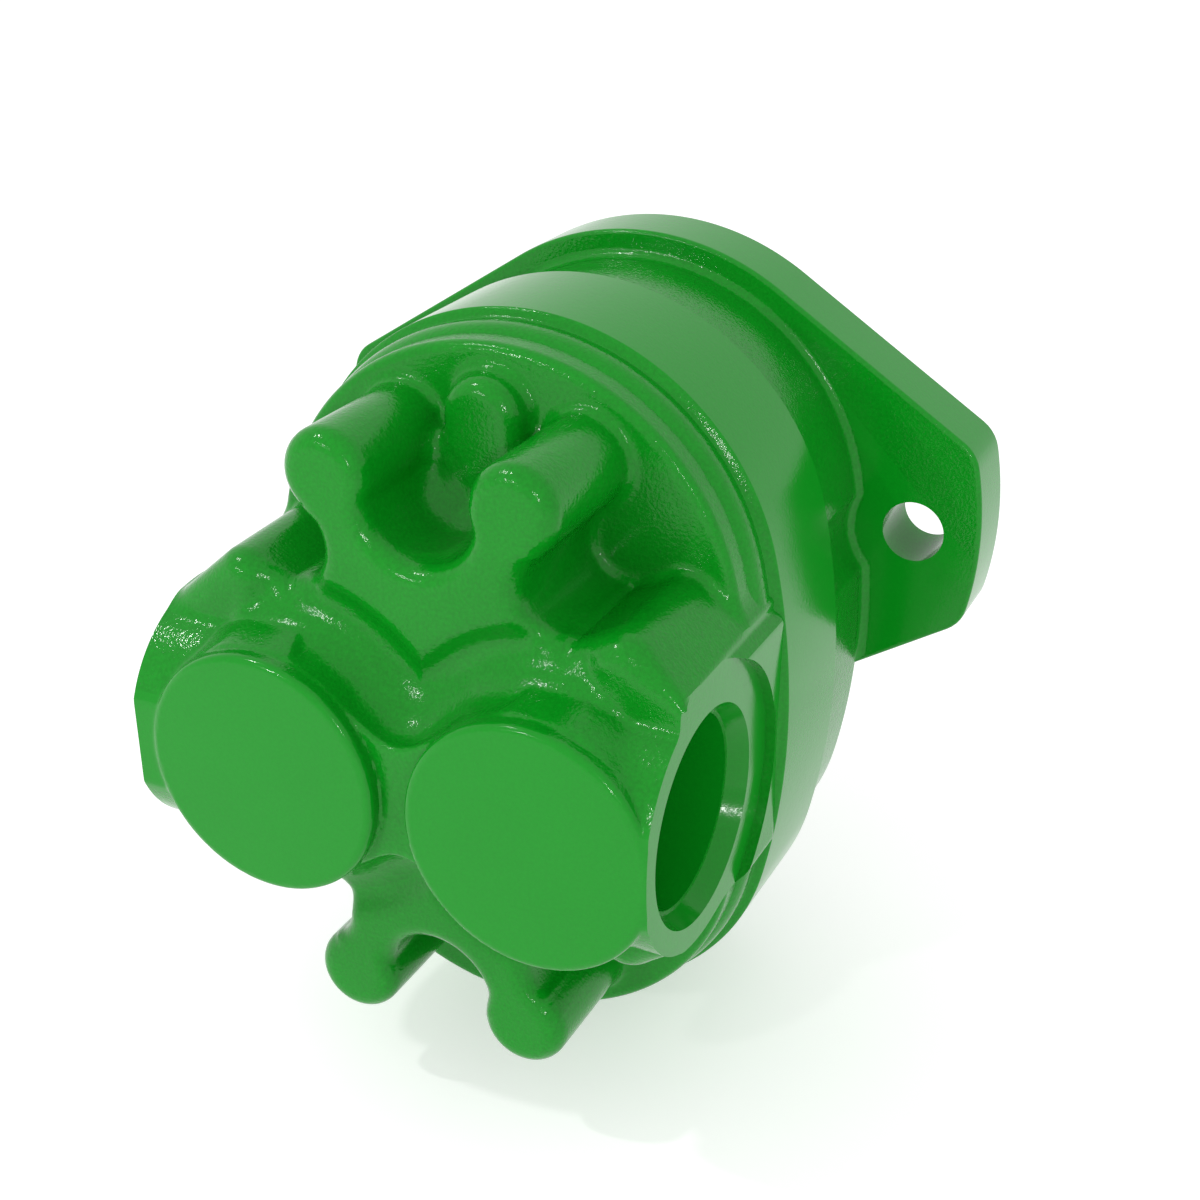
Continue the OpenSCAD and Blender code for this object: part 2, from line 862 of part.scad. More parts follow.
// Rubber of the shaft seal, with its sprung lip and its dust lip
module shaft_seal_lip() {
    inside_r = seal_r - seal_wall;
    touch = journal_r + journal_gap;
    dust_gap = 0.2;
    y_top = y_ring - seal_wall;
    spring_y = y_seal + 2 * spring_r;
    color("black")
        turn_y()
            difference() {
                polygon([[inside_r, y_top], [touch + lip_t, y_top],
                         [touch + dust_gap, y_top - lip_t],
                         [seal_bore_r, y_top - 2 * lip_t], [touch, spring_y],
                         [touch + lip_t, y_seal + spring_r / 2],
                         [touch + 2 * lip_t, y_seal + spring_r],
                         [seal_bore_r + lip_t, y_top - lip_t], [inside_r, y_top - lip_t]]);
                translate([touch + lip_t + spring_r, spring_y])
                    circle(r = spring_r);
            }
}

module seal_garter_spring() {
    color("silver")
        turn_y()
            translate([journal_r + journal_gap + lip_t + spring_r, y_seal + 2 * spring_r])
                circle(r = spring_r);
}

// Internal retaining ring with its gap and two eyes
module retaining_ring() {
    eye_r = 2.4;
    eye_hole_r = 1;
    gap_w = 4;
    ring_r = seal_r + ring_groove;
    eye_x = gap_w / 2 + eye_r;
    eye_d = seal_r - eye_r;
    color("dimgray")
        extrude_y(y_ring, y_ring + ring_t)
            difference() {
                union() {
                    difference() {
                        circle(r = ring_r);
                        circle(r = ring_r - ring_w);
                    }
                    for (s = [-1, 1])
                        translate([s * eye_x, -sqrt(eye_d ^ 2 - eye_x ^ 2)])
                            circle(r = eye_r);
                }
                translate([-gap_w / 2, -ring_r - cut])
                    square([gap_w, ring_r]);
                for (s = [-1, 1])
                    translate([s * eye_x, -sqrt(eye_d ^ 2 - eye_x ^ 2)])
                        circle(r = eye_hole_r);
            }
}

// Hexagon socket screw with its head towards the flange face
module socket_screw() {
    y_head = head_top - head_h;
    difference() {
        union() {
            rod_y(screw_r, y_screw_tip, y_head + eps);
            rod_y(head_r, y_head, head_top);
        }
        translate([0, head_top + cut, 0])
            rotate([90, 0, 0])
                cylinder(d = socket_af / cos(30), h = socket_h + cut, $fn = 6);
    }
}

module body_screws() {
    color("dimgray")
        each_screw()
            socket_screw();
}

module screw_washers() {
    color("silver")
        each_screw()
            extrude_y(-head_seat, -head_seat + washer_t)
                difference() {
                    circle(r = head_r);
                    circle(r = screw_r + screw_gap / 2);
                }
}

module dowel_pins() {
    color("silver")
        each_dowel()
            rod_y(dowel_r, y_joint - dowel_len / 2, y_joint + dowel_len / 2);
}

front_cover();
pump_body();
drive_shaft();
drive_gear();
drive_gear_key();
driven_shaft();
driven_gear();
front_drive_bushing();
front_driven_bushing();
rear_drive_bushing();
rear_driven_bushing();
front_wear_plate();
rear_wear_plate();
front_balance_seal();
rear_balance_seal();
front_backup_strip();
rear_backup_strip();
joint_seal();
shaft_seal_case();
shaft_seal_lip();
seal_garter_spring();
retaining_ring();
body_screws();
screw_washers();
dowel_pins();
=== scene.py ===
import json
import math
import bmesh
import bpy
import numpy as np
from mathutils import Matrix, Vector


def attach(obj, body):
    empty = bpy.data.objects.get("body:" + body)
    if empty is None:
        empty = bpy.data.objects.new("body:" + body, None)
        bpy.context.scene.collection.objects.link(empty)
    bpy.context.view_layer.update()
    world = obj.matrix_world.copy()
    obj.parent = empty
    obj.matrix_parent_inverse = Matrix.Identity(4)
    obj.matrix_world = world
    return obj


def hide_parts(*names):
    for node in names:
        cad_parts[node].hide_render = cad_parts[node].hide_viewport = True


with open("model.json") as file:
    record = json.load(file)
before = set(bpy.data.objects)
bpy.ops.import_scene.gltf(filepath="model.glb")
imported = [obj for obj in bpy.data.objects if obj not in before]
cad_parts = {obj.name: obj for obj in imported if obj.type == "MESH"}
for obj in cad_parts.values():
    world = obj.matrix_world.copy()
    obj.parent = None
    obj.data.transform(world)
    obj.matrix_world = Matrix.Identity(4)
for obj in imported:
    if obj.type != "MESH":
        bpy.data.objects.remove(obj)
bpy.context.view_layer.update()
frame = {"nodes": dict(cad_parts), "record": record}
scene = bpy.context.scene
mm = 0.001


def addObject(name, data):
    piece = bpy.data.objects.new(name, data)
    scene.collection.objects.link(piece)
    return piece


# Camera: stands where the photograph's camera stood
view = dict(azimuth=26.44, elevation=26.15, lens=54.38, sensor=36.0,
            eye=(0.13466, -0.30187, 0.13128))


def makeCamera(v):
    az, el = math.radians(v["azimuth"]), math.radians(v["elevation"])
    forward = Vector((-math.sin(az) * math.cos(el), math.cos(az) * math.cos(el), -math.sin(el)))
    right = Vector((math.cos(az), math.sin(az), 0))
    turn = Matrix((right, right.cross(forward), -forward)).transposed()
    camera = addObject("camera", bpy.data.cameras.new("camera"))
    camera.matrix_world = Matrix.Translation(v["eye"]) @ turn.to_4x4()
    camera.data.lens = v["lens"]
    camera.data.sensor_width = v["sensor"]
    camera.data.clip_start = 0.01
    camera.data.clip_end = 20
    scene.camera = camera


makeCamera(view)
print("camera in place")

# Sizes that both castings share, in millimetres: the oval of four arcs and the joint plane
oval = dict(midZ=-19.05, crownR=45.3, halfH=19.65, halfW=47.5, jointY=-34.5, gearGap=38.1)
sideR = ((oval["halfW"] ** 2 + oval["halfH"] ** 2 - oval["crownR"] ** 2)
         / (2 * (oval["halfW"] - oval["crownR"])))
sideX = sideR - oval["halfW"]
arcA = math.asin(oval["halfH"] / (sideR - oval["crownR"]))
screws = [(sx * 16.3, z) for sx in (-1, 1) for z in (27.35, -65.45)]
dowels = [(35.0, 8.0), (-35.0, -46.1)]


# Meshes from numpy arrays
def rawMesh(name, points, faces):
    mesh = bpy.data.meshes.new(name)
    mesh.from_pydata((np.asarray(points) * mm).tolist(), [], faces)
    return mesh


def faceOutward(mesh):
    work = bmesh.new()
    work.from_mesh(mesh)
    bmesh.ops.recalc_face_normals(work, faces=work.faces)
    work.to_mesh(mesh)
    work.free()


# Points of a path made of arcs, each (x, z, radius, first angle, last angle, bend), moved outwards
# by grow: centre + (radius + bend * grow) * (cos, sin); straight lines join one arc to the next
def arcPath(arcs, grow, spacing=0.9):
    rows = []
    for x, z, r, a0, a1, bend in arcs:
        n = max(3, int(abs(a1 - a0) * r / spacing))
        a = np.linspace(a0, a1, n)
        reach = r + bend * grow
        rows.append(np.stack([x + reach * np.cos(a), z + reach * np.sin(a)], 1))
    return np.concatenate(rows)


def ringWalls(n, m):  # squares between n rings of m points, closed round each ring
    i, j = np.meshgrid(np.arange(n - 1), np.arange(m), indexing="ij")
    k = (j + 1) % m
    corners = [i * m + j, i * m + k, (i + 1) * m + k, (i + 1) * m + j]
    return np.stack(corners, -1).reshape(-1, 4).tolist()


# A solid whose wall is a profile of (growth, y) carried along that path, with flat ends
def sweepPath(arcs, profile):
    rings = [arcPath(arcs, grow) for grow, y in profile]
    points = np.stack([np.insert(ring, 1, y, axis=1) for ring, (grow, y) in zip(rings, profile)])
    n, m = points.shape[:2]
    ends = [list(range(m)), list(range((n - 1) * m, n * m))]
    return points.reshape(-1, 3), ringWalls(n, m) + ends


# A turned solid, closed on the axis at both ends, from a profile of (radius, place on the axis):
# origin + place * axis + radius * (cos * side + sin * (axis x side))
def turned(profile, origin, axis=(0, 1, 0), around=96):
    a = np.linspace(0, 2 * np.pi, around, endpoint=False)
    axis, origin = np.array(axis, float), np.array(origin, float)
    side = np.array([0, 0, 1.0]) if abs(axis[2]) < 0.5 else np.array([1.0, 0, 0])
    ring = np.cos(a)[:, None] * side + np.sin(a)[:, None] * np.cross(axis, side)
    rows = np.array(profile[1:-1], float)
    body = origin + rows[:, None, 1:2] * axis + rows[:, None, 0:1] * ring[None]
    n, m = body.shape[:2]
    tips = [origin + profile[0][1] * axis, origin + profile[-1][1] * axis]
    j = np.arange(m)
    k = (j + 1) % m
    first = np.stack([k, j, np.full(m, n * m)], 1).tolist()
    last = np.stack([(n - 1) * m + j, (n - 1) * m + k, np.full(m, n * m + 1)], 1).tolist()
    return np.concatenate([body.reshape(-1, 3), tips]), ringWalls(n, m) + first + last


def bore(r, y0, y1, x=0, z=0, around=64):  # a plain cylinder along y
    return turned([(0, y0), (r, y0), (r, y1), (0, y1)], (x, 0, z), (0, 1, 0), around)


def block(low, high):  # a box from its lowest to its highest corner
    (x0, y0, z0), (x1, y1, z1) = low, high
    points = [(x, y, z) for x in (x0, x1) for y in (y0, y1) for z in (z0, z1)]
    sides = [(0, 1, 3, 2), (4, 6, 7, 5), (0, 4, 5, 1), (2, 3, 7, 6), (0, 2, 6, 4), (1, 5, 7, 3)]
    return points, sides


def quarter(cx, cy, r, a0, a1, n=6):  # points on an arc of a profile, angles in degrees
    a = np.radians(np.linspace(a0, a1, n + 1))
    return [(cx + r * c, cy + r * s) for c, s in zip(np.cos(a), np.sin(a))]


def finishedMesh(piece):  # the mesh with its modifiers applied
    bpy.context.view_layer.update()
    graph = bpy.context.evaluated_depsgraph_get()
    return bpy.data.meshes.new_from_object(piece.evaluated_get(graph))


# The first shape, met, joined and cut by others in turn, then shaded smooth up to its real edges
def machine(name, first, steps, edge=35):
    blank = addObject("blank", rawMesh("blank", *first))
    faceOutward(blank.data)
    tools = []
    for operation, shape in steps:
        tool = addObject("tool", rawMesh("tool", *shape))
        faceOutward(tool.data)
        tools.append(tool)
        change = blank.modifiers.new("change", "BOOLEAN")
        change.operation, change.solver, change.object = operation, "MANIFOLD", tool
    mesh = finishedMesh(blank)
    for spent in [blank] + tools:
        bpy.data.objects.remove(spent)
    mesh.polygons.foreach_set("use_smooth", np.ones(len(mesh.polygons), bool))
    mesh.set_sharp_from_angle(angle=math.radians(edge))
    piece = addObject(name, mesh)
    weigh = piece.modifiers.new("weigh", "WEIGHTED_NORMAL")  # keeps large flat faces evenly lit
    weigh.keep_sharp = True
    weigh.weight = 80
    mesh = finishedMesh(piece)
    piece.modifiers.clear()
    piece.data = mesh
    mesh.name = name
    print(name, len(mesh.polygons), "faces")
    return piece


# Rounded joining of distance fields, which are in millimetres and negative inside: the smaller or
# the larger distance, and an arc of radius r where both surfaces are nearer than r
def joinRound(a, b, r):  # both shapes, with a hollow fillet where they meet
    return np.maximum(np.minimum(a, b), r) - np.hypot(np.maximum(r - a, 0), np.maximum(r - b, 0))


def meetRound(a, b, r):  # what both shapes share, with its edge rounded
    return np.minimum(np.maximum(a, b), -r) + np.hypot(np.maximum(a + r, 0), np.maximum(b + r, 0))


def ovalGap(x, z):  # distance outside the oval
    u, v = np.abs(x), np.abs(z - oval["midZ"])
    crown = np.hypot(u, v - oval["halfH"]) - oval["crownR"]
    side = np.hypot(u + sideX, v) - sideR
    return np.where(v * sideX > oval["halfH"] * (u + sideX), crown, side)


# Rear of the pump body: screw ribs, valleys, humps, port bosses, discs with coves, web and dome.
# u and v are measured sideways and up or down from the middle of the two gears.
rear = dict(rimInset=2.5, rimRound=1.6, floorY=-68.8, bandY=-57.1, deepY=-50.0, floorFillet=2.0,
            ribX=16.3, ribV=46.4, ribR=7.5, ribY=-94.1, ribFillet=0.6,
            edgeR=3.2, humpEdge=4.4, humpEdgeU=(26, 31), outerEdge=2.2, outerEdgeX=(36, 43),
            slotV=44.0, slotR=9.6, valleyX=24.5, valleyV=34.05, valleyR=7.2,
            fallU=0.664, fallV=0.748, fall=46.75, draft=0.02,  # outer face of a hump
            riseU=27.8, riseV=27.6, riseAngle=27.0, crestR=3.5, humpFillet=1.0,
            dip=1.7, dipRun=4.6, starReach=9.9, humpAt=28.8, humpU=0.86, humpZ=0.51,
            bossR=22.0, bossLow=0.5, portY=-84.1, portZ=-21.25, outletX=46.0, inletX=50.0, endR=0.6,
            bossFillet=1.2, ledgeX=44.3, ledgeAt=47.0, ledgeLean=0.707,
            discX=24.0, discR=21.1, discEdge=1.2, discY=-105.2,
            webY=-102.2, webFillet=16.8, webEdge=0.6, webSeam=0.4,
            coveR=8.0, coveLow=0.3, coveFade=0.84, coveFadeU=(31, 39), coveRun=(0.8, 4),
            domeR=7.0, domeY=-74.2, domeZ=32.2, domeEdge=3.0, domeFoot=12,
            domeFillet=2.2, hollowFillet=6.5, domeFilletZ=(22, 33))


def ease(x, low, high):  # 0 below low, 1 above high, level at both ends
    t = np.clip((x - low) / (high - low), 0, 1)
    return (3 - 2 * t) * t * t


def padOutline(x, y, z):  # a tapered core less valleys and slots, joined with humps and ribs
    r = rear
    u, v = np.abs(x), np.abs(z - oval["midZ"])
    dx, dv = r["valleyX"] - r["ribX"], r["ribV"] - r["valleyV"]
    flank = ((u - r["ribX"]) * dv + (v - r["ribV"]) * dx) / math.hypot(dx, dv)
    core = np.maximum(np.maximum(u - r["valleyX"], v - r["ribV"]), flank)
    valley = np.hypot(u - r["valleyX"], v - r["valleyV"]) - r["valleyR"]
    slot = np.where(v > r["slotV"], u, np.hypot(u, v - r["slotV"])) - r["slotR"]
    core = np.maximum(np.maximum(core, -valley), -slot)
    rise = math.radians(r["riseAngle"])
    fall = r["fallU"] * u + r["fallV"] * v - r["fall"] + r["draft"] * np.maximum(r["floorY"] - y, 0)
    climb = math.cos(rise) * (v - r["riseV"]) - math.sin(rise) * (u - r["riseU"])
    outline = joinRound(core, meetRound(fall, climb, r["crestR"]), r["humpFillet"])
    rib = np.hypot(u - r["ribX"], v - r["ribV"]) - r["ribR"]
    return joinRound(outline, rib, r["ribFillet"])


def rearField(x, y, z):  # distance outside the whole rear end
    r = rear
    u = np.abs(x)
    rim = meetRound(ovalGap(x, z) + r["rimInset"], r["floorY"] - y, r["rimRound"])
    rim = np.maximum(rim, y - r["deepY"])
    ends = np.maximum(x - r["outletX"], -x - r["inletX"])
    left = np.hypot(x + r["discX"], z - r["portZ"]) - r["discR"]
    right = np.hypot(x - r["discX"], z - r["portZ"]) - r["discR"]
    disc = np.minimum(left, right)
    # the star of ribs and the two humps stand a little above the ground between them
    star = r["starReach"] - disc
    hump = r["humpAt"] - r["humpU"] * u - r["humpZ"] * z
    topY = r["ribY"] + r["dip"] * ease(np.minimum(star, hump), -r["dipRun"] / 2, r["dipRun"] / 2)
    edge = r["edgeR"] + (r["humpEdge"] - r["edgeR"]) * ease(u, *r["humpEdgeU"])
    edge = edge + (r["outerEdge"] - r["humpEdge"]) * ease(x, *r["outerEdgeX"])
    pad = meetRound(padOutline(x, y, z), topY - y, edge)
    boss = np.maximum(np.hypot(y - r["portY"], z - r["portZ"]) - r["bossR"], r["discX"] - u)
    boss = np.maximum(boss, r["discY"] + r["bossLow"] - y)
    shape = np.maximum(joinRound(pad, boss, r["bossFillet"]), y - r["bandY"])
    web = meetRound(joinRound(left, right, r["webFillet"]), r["webY"] - y, r["webEdge"])
    disc = joinRound(web, meetRound(disc, r["discY"] - y, r["discEdge"]), r["webSeam"])
    disc = np.maximum(disc, y - r["portY"])
    # the cove round the discs dies out towards the ports and at the discs' tops
    fade = 1 - r["coveFade"] * ease(u, *r["coveFadeU"])
    start, full = (r["discY"] + run for run in r["coveRun"])
    cove = r["coveLow"] + (r["coveR"] - r["coveLow"]) * fade * ease(y, start, full)
    shape = joinRound(shape, disc, cove)
    shape = meetRound(joinRound(shape, rim, r["floorFillet"]), ends, r["endR"])
    # ledge along the roof beside the outlet
    ledge = np.maximum(r["ledgeX"] - x, (r["ledgeAt"] - x - z) * r["ledgeLean"])
    shape = np.maximum(shape, -ledge)
    dome = np.where(z > r["domeZ"], np.hypot(x, z - r["domeZ"]), u) - r["domeR"]
    dome = np.maximum(meetRound(dome, r["domeY"] - y, r["domeEdge"]), r["domeFoot"] - z)
    dome = np.maximum(dome, y - r["bandY"])
    climb = ease(z, *r["domeFilletZ"])
    return joinRound(shape, dome, r["hollowFillet"] + (r["domeFillet"] - r["hollowFillet"]) * climb)


def fieldSlope(field, points, h=0.02):  # the field and its slope, by central differences
    def at(p):
        return field(p[:, 0], p[:, 1], p[:, 2])
    slope = np.stack([at(points + h * e) - at(points - h * e) for e in np.eye(3)], 1) / (2 * h)
    return at(points), slope


def gridLines(low, high, step, fine=()):  # fine holds (from, to, step) of closer lines
    lines = [low]
    while lines[-1] < high:
        lines.append(lines[-1] + next((s for a, b, s in fine if a <= lines[-1] < b), step))
    return np.array(lines)


# Closed skin of a field: one vertex in each cell that the surface passes through, at the mean of
# the crossings on the cell's edges, slid onto the surface; one square round each crossed edge.
# Each of the settle turns slides it by share * value * slope / slope squared.
def skinField(field, xs, ys, zs, settle=4, share=0.8, leastSlope=0.25):
    axes = (xs, ys, zs)
    grid = np.broadcast_to(field(xs[:, None, None], ys[None, :, None], zs[None, None, :]),
                           (len(xs), len(ys), len(zs)))
    inside = grid < 0
    corner = np.zeros([n - 1 for n in grid.shape], np.int8)
    sides = [slice(None, -1), slice(1, None)]
    for i in (0, 1):
        for j in (0, 1):
            for k in (0, 1):
                corner += inside[sides[i], sides[j], sides[k]]
    cells = np.argwhere((corner > 0) & (corner < 8))
    total, hits = np.zeros((len(cells), 3)), np.zeros(len(cells))
    for axis in range(3):
        others = [n for n in range(3) if n != axis]
        for p in (0, 1):
            for q in (0, 1):
                start = cells.copy()
                start[:, others[0]] += p
                start[:, others[1]] += q
                end = start.copy()
                end[:, axis] += 1
                fa, fb = grid[tuple(start.T)], grid[tuple(end.T)]
                cross = (fa < 0) != (fb < 0)
                t = np.where(cross, fa / np.where(cross, fa - fb, 1), 0)
                pa = np.stack([axes[n][start[:, n]] for n in range(3)], 1)
                pb = np.stack([axes[n][end[:, n]] for n in range(3)], 1)
                total += np.where(cross[:, None], pa + (pb - pa) * t[:, None], 0)
                hits += cross
    points = total / hits[:, None]
    for turn in range(settle):
        value, slope = fieldSlope(field, points)
        pull = value / np.maximum((slope ** 2).sum(1), leastSlope)
        points = points - share * pull[:, None] * slope
    index = -np.ones(corner.shape, np.int64)
    index[tuple(cells.T)] = np.arange(len(cells))
    squares = []
    for axis in range(3):
        o1, o2 = [(1, 2), (2, 0), (0, 1)][axis]
        first = np.take(inside, range(grid.shape[axis] - 1), axis)
        edges = np.argwhere(first != np.take(inside, range(1, grid.shape[axis]), axis))
        ring = []
        for d1, d2 in ((-1, -1), (0, -1), (0, 0), (-1, 0)):
            cell = edges.copy()
            cell[:, o1] += d1
            cell[:, o2] += d2
            ring.append(index[tuple(cell.T)])
        ring = np.stack(ring, 1)
        flip = ~first[tuple(edges.T)]
        ring[flip] = ring[flip][:, ::-1]
        squares.append(ring)
    return points, np.concatenate(squares).tolist()


# Cells of the skin, half as deep at the edges of the discs and of the floor
net = dict(size=0.7, roughSize=1.0, x=(-51.4, 47.2), y=(-106.6, -48.6), z=(-86.5, 48.0),
           fineY=((-105.8, -101.5), (-69.4, -66.4)))
size = net["size"]
closer = [(low, high, size / 2) for low, high in net["fineY"]]
skin = skinField(rearField, gridLines(*net["x"], size), gridLines(*net["y"], size, closer),
                 gridLines(*net["z"], size))
print("rear skin:", len(skin[0]), "points")


# Band and ogee of the body, a profile carried round the oval
def ovalArcs(c):
    return [(-sideX, c["midZ"], sideR, -arcA, arcA, 1),
            (0, c["midZ"] + c["halfH"], c["crownR"], arcA, math.pi - arcA, 1),
            (sideX, c["midZ"], sideR, math.pi - arcA, math.pi + arcA, 1),
            (0, c["midZ"] - c["halfH"], c["crownR"], math.pi + arcA, 2 * math.pi - arcA, 1)]


band = dict(edge=0.3, fallLength=1.4, fallDepth=1.6, beadLength=5.6, beadHeight=0.32, beadFall=1.1,
            inward=8.0, backStep=0.1)


def bandProfile(b):  # a cosine fall from the band's edge, then a low bead that drops to the rim
    rows = [(-b["edge"], oval["jointY"]), (0, oval["jointY"] - b["edge"])]
    for s in np.linspace(0, 1, 13):
        rows.append((-b["fallDepth"] * (1 - math.cos(math.pi * s)) / 2,
                     rear["bandY"] - b["fallLength"] * s))
    for s in np.linspace(0, 1, 19)[1:]:
        out = -b["fallDepth"] + b["beadHeight"] * math.sin(math.pi * s) - b["beadFall"] * s ** 4
        rows.append((out, rear["bandY"] - b["fallLength"] - b["beadLength"] * s))
    return rows + [(-b["inward"], rows[-1][1] + b["backStep"])]


# What is machined out of the body. Tools start and end a little outside it, at cutOver or clear.
cutOver = 1
fits = dict(bushingR=11.155, bushingLength=17.0, clearR=4.4, dowelR=3.0, dowelDepth=7.5)
port = dict(boreR=15.8, mouthR=18.0, mouthH=3.3, shoulder=0.8, depth=24.0, spotR=25.1, spotH=1.7,
            clear=8.0)
chamber = dict(fits, chamberR=22.285, chamberY=-64.3, galleryX=24.5, galleryR=7.0, passageR=6.5,
               tapR=4.02, tapY=-82.5)


def portTool(side, padX):  # bore, sealing chamfer and spot face of a port
    p = port
    face = padX - p["spotH"]
    deep, mouth, top = face - p["depth"], face - p["mouthH"], padX + p["clear"]
    return turned([(0, deep), (p["boreR"], deep), (p["boreR"], mouth),
                   (p["boreR"] + p["shoulder"], mouth), (p["mouthR"], face), (p["spotR"], face),
                   (p["spotR"], top), (0, top)],
                  (0, rear["portY"], rear["portZ"]), (side, 0, 0), 128)


def bodyCuts(c):
    front, deep, mid = oval["jointY"] + cutOver, c["chamberY"], oval["midZ"]
    cuts = [portTool(1, rear["outletX"]), portTool(-1, rear["inletX"])]
    for z in (0, -oval["gearGap"]):
        cuts.append(bore(c["chamberR"], deep, front, 0, z, 128))
        cuts.append(bore(c["bushingR"], deep - c["bushingLength"], deep + cutOver, 0, z))
    cuts.append(block((-c["galleryX"], deep, mid - c["galleryR"]),
                      (c["galleryX"], front, mid + c["galleryR"])))
    for s in (-1, 1):
        cuts.append(bore(c["galleryR"], deep, front, s * c["galleryX"], mid))
        cuts.append(bore(c["passageR"], rear["portY"], deep + cutOver, s * c["galleryX"], mid))
    for x, z in screws:
        cuts.append(turned([(0, c["tapY"]), (c["tapR"], c["tapY"]), (c["tapR"], deep),
                            (c["clearR"], deep), (c["clearR"], front), (0, front)],
                           (x, 0, z), around=48))
    for x, z in dowels:
        cuts.append(bore(c["dowelR"], oval["jointY"] - c["dowelDepth"], front, x, z, 32))
    return cuts


casting = machine("pump_casting", sweepPath(ovalArcs(oval), bandProfile(band)),
                  [("UNION", skin)] + [("DIFFERENCE", cut) for cut in bodyCuts(chamber)])

# Front cover: flange plate with two ears, neck with a scallop beside each hole, and spigot
cover = dict(fits, holeX=53.2, holeR=5.6, flangeY=-13.0, midR=48.0, earAngle=57.3, earR=65.3,
             cornerR=7.0, rearEdge=0.8, frontEdge=0.5, pilotR=41.275, pilotH=6.35, pilotEdge=0.8,
             neckInset=2.8, scallopR=12.2, scallopEdge=1.2, neckFillet=1.8, neckEdge=0.8,
             sealR=15.9, sealY=-6.0, ringR=16.8, ringY=1.0, ringT=1.2, shaftR=10.525,
             headR=6.9, headY=-23.6, holeOver=4)


# Half of the flange's outline with one ear, then the same half turned round to the other ear
def flangeArcs(c):
    far = c["earR"] - c["cornerR"]
    lean = math.radians(c["earAngle"])
    turn = lean - math.acos((c["midR"] - c["cornerR"]) / far)
    x, z = far * math.cos(turn), far * math.sin(turn)
    half = [(0, 0, c["earR"], -turn, turn, 1), (x, z, c["cornerR"], turn, lean, 1),
            (0, 0, c["midR"], lean, math.pi - lean, 1),
            (-x, z, c["cornerR"], math.pi - lean, math.pi - turn, 1)]
    return half + [(-px, -pz, r, a0 + math.pi, a1 + math.pi, bend)
                   for px, pz, r, a0, a1, bend in half]


# The oval drawn smaller, cut on each side by a scallop round the hole. A small arc rounds each
# edge of a scallop: its centre is as far from the scallop's circle as from the oval's.
def neckArcs(c):
    mid, r, k = oval["midZ"], c["scallopR"], c["scallopEdge"]
    hole = np.array([c["holeX"], 0.0])

    def edgeCentre(centre, radius, side):
        gap = hole - centre
        d = math.hypot(*gap)
        along = ((radius - k) ** 2 - (r + k) ** 2 + d ** 2) / (2 * d)
        off = side * math.sqrt((radius - k) ** 2 - along ** 2)
        return centre + along * gap / d + off * np.array([-gap[1], gap[0]]) / d

    def lean(p, q):
        return math.atan2(p[1] - q[1], p[0] - q[0])

    flank, crown = np.array([-sideX, mid]), np.array([0, mid + oval["halfH"]])
    flankR, crownR = sideR - c["neckInset"], oval["crownR"] - c["neckInset"]
    low, high = edgeCentre(flank, flankR, -1), edgeCentre(crown, crownR, 1)
    right = [(*flank, flankR, -arcA, lean(low, flank), 1),
             (*low, k, lean(low, flank), lean(low, hole) + math.pi, 1),
             (*hole, r, lean(low, hole) + 2 * math.pi, lean(high, hole), -1),
             (*high, k, lean(high, hole) - math.pi, lean(high, crown), 1)]
    left = [(-x, z, radius, math.pi - a1, math.pi - a0, bend)
            for x, z, radius, a0, a1, bend in right[::-1]]
    top = (*crown, crownR, lean(high, crown), math.pi - lean(high, crown), 1)
    bottom = (0, mid - oval["halfH"], crownR, math.pi + arcA, 2 * math.pi - arcA, 1)
    return right + [top] + left + [bottom]


def plateProfile(c):  # both edges of the flange rounded
    rows = quarter(-c["rearEdge"], c["flangeY"] + c["rearEdge"], c["rearEdge"], -90, 0)
    return rows + quarter(-c["frontEdge"], -c["frontEdge"], c["frontEdge"], 0, 90)


def neckProfile(c):
    e = c["neckEdge"]
    return [(0, oval["jointY"])] + quarter(-e, c["flangeY"] - e, e, 0, 90)


def flareProfile(c):  # the fillet between neck and flange
    f = c["neckFillet"]
    arc = quarter(f, c["flangeY"] - f, f, 180, 90)
    return [(-1, c["flangeY"] - f)] + arc + [(f, c["flangeY"] + 1)]


def flareLimit(c):  # the flange's outline, which the fillet can't pass
    return [(-c["rearEdge"], c["flangeY"] - c["neckFillet"] - 1),
            (-c["rearEdge"], c["flangeY"] + 0.5)]


def spigotProfile(c):
    r, h, e = c["pilotR"], c["pilotH"], c["pilotEdge"]
    return [(0, -1), (r, -1)] + quarter(r - e, h - e, e, 0, 90, 3) + [(0, h)]


def coverCuts(c):
    joint, back, top = oval["jointY"], oval["jointY"] - cutOver, c["pilotH"] + cutOver
    grooveEnd = c["ringY"] + c["ringT"]
    cuts = [bore(c["holeR"], c["flangeY"] - c["holeOver"], 2, x, 0, 96)
            for x in (-c["holeX"], c["holeX"])]
    cuts.append(turned([(0, c["sealY"]), (c["sealR"], c["sealY"]), (c["sealR"], c["ringY"]),
                        (c["ringR"], c["ringY"]), (c["ringR"], grooveEnd), (c["sealR"], grooveEnd),
                        (c["sealR"], top), (0, top)], (0, 0, 0), around=128))
    cuts.append(bore(c["shaftR"], back, 0))
    for z in (0, -oval["gearGap"]):
        cuts.append(bore(c["bushingR"], back, joint + c["bushingLength"], 0, z))
    for x, z in screws:
        cuts.append(turned([(0, back), (c["clearR"], back), (c["clearR"], c["headY"]),
                            (c["headR"], c["headY"]), (c["headR"], top), (0, top)],
                           (x, 0, z), around=64))
    for x, z in dowels:
        cuts.append(bore(c["dowelR"], back, joint + c["dowelDepth"], x, z, 32))
    return cuts


